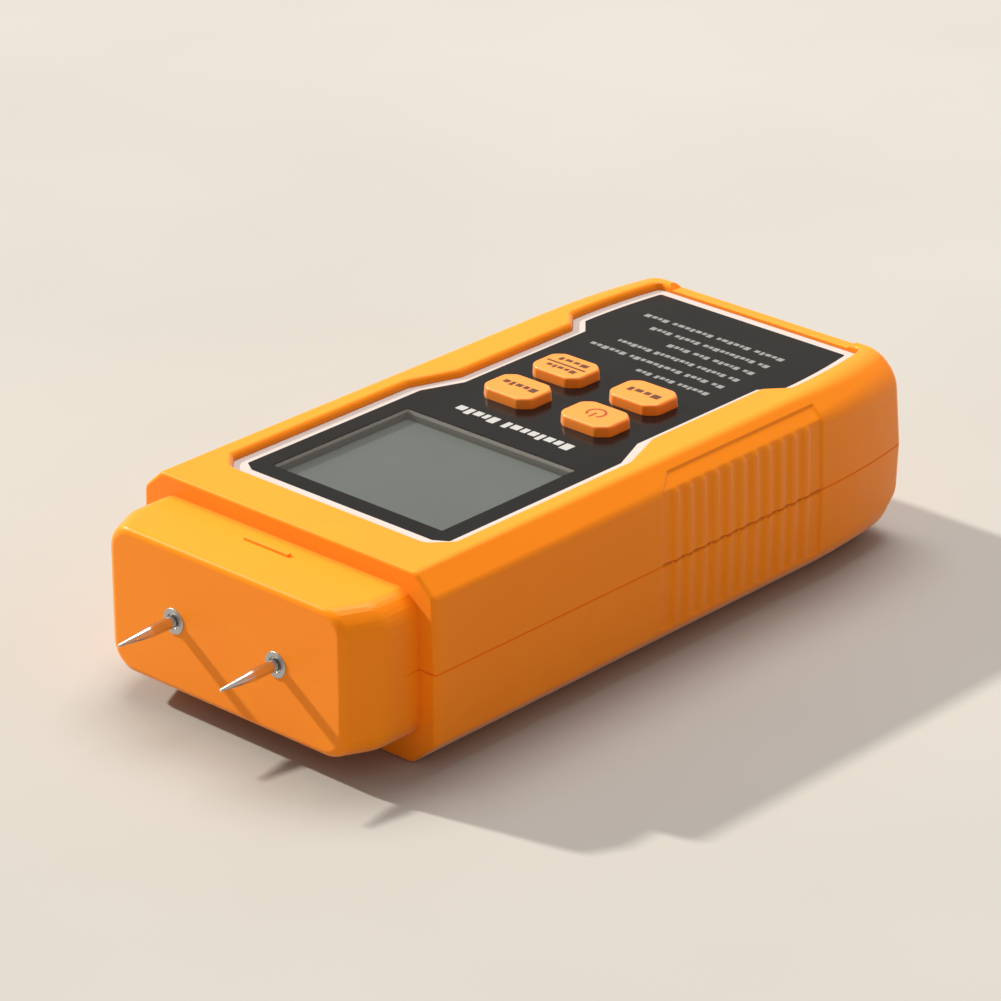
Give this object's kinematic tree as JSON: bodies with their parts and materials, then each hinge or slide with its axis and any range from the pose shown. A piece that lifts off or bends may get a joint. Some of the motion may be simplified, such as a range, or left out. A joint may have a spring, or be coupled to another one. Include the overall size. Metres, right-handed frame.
{
  "type": "pin moisture meter",
  "caption": "Hand-held pin moisture meter: a two-part moulded case with a face label, display, push keys, steel probe pins on a stepped nose and a sliding battery door.",
  "frame": {"origin": "on the flat back face, on the centre line, near the middle of the body's length", "axes": "+Z out of the face, +Y along the body away from the pins, +X to the right when the pins point towards the viewer"},
  "size_m": [0.07, 0.1572, 0.0365],
  "materials": {
    "orange_plastic": "satin moulded",
    "key_plastic": "soft satin",
    "white_plate": "printed satin",
    "black_label": "polished",
    "clear_window": "polished",
    "display_glass": "satin polariser",
    "dark_plastic": "moulded",
    "light_guide": "satin",
    "contact_rubber": "matt",
    "board": "solder mask",
    "chip_plastic": "moulded",
    "nylon": "natural",
    "pin_steel": "ground and polished",
    "zinc_steel": "zinc plated",
    "brass": "turned",
    "can_sleeve": "shrunk sleeve",
    "resistor_body": "lacquered",
    "white_wire": "insulation",
    "grey_wire": "insulation",
    "red_wire": "insulation",
    "black_wire": "insulation",
    "battery_can": "lacquered",
    "foam": "open foam"
  },
  "bodies": {
    "case": {"top_shell": "orange_plastic", "bottom_shell": "orange_plastic", "shell_screws": "zinc_steel", "face_plate": "white_plate", "face_label": "black_label", "display_window": "clear_window", "display_frame": "dark_plastic", "display_glass": "display_glass", "backlight_panel": "light_guide", "contact_strip_front": "contact_rubber", "contact_strip_rear": "contact_rubber", "main_board": "board", "board_screws": "zinc_steel", "controller_chip": "chip_plastic", "amplifier_chip": "chip_plastic", "crystal": "zinc_steel", "buzzer": "dark_plastic", "capacitor_large": "can_sleeve", "capacitor_small": "can_sleeve", "sense_resistor": "resistor_body", "pin_left": "pin_steel", "pin_right": "pin_steel", "collar_left": "pin_steel", "collar_right": "pin_steel", "socket_left": "brass", "socket_right": "brass", "pin_holder": "dark_plastic", "probe_wire_left": "grey_wire", "probe_wire_right": "white_wire", "battery": "battery_can", "battery_snap": "dark_plastic", "battery_lead_positive": "red_wire", "battery_lead_negative": "black_wire", "battery_pad": "foam", "material_switch": "chip_plastic", "unit_switch": "chip_plastic", "power_switch": "chip_plastic", "hold_switch": "chip_plastic"},
    "door": {"battery_door": "orange_plastic"},
    "material_button": {"material_key": "key_plastic", "material_plunger": "nylon"},
    "unit_button": {"unit_key": "key_plastic", "unit_plunger": "nylon"},
    "power_button": {"power_key": "key_plastic", "power_plunger": "nylon"},
    "hold_button": {"hold_key": "key_plastic", "hold_plunger": "nylon"}
  },
  "joints": [
    {"name": "door_slide", "type": "slide", "parent": "case", "child": "door", "axis": [0, 1, 0], "range_m": [0, 0.056]},
    {"name": "material_press", "type": "slide", "parent": "case", "child": "material_button", "axis": [0, 0, -1], "range_m": [0, 0.0006], "stiffness_N_per_m": 1500},
    {"name": "unit_press", "type": "slide", "parent": "case", "child": "unit_button", "axis": [0, 0, -1], "range_m": [0, 0.0006], "stiffness_N_per_m": 1500},
    {"name": "power_press", "type": "slide", "parent": "case", "child": "power_button", "axis": [0, 0, -1], "range_m": [0, 0.0006], "stiffness_N_per_m": 1500},
    {"name": "hold_press", "type": "slide", "parent": "case", "child": "hold_button", "axis": [0, 0, -1], "range_m": [0, 0.0006], "stiffness_N_per_m": 1500}
  ]
}
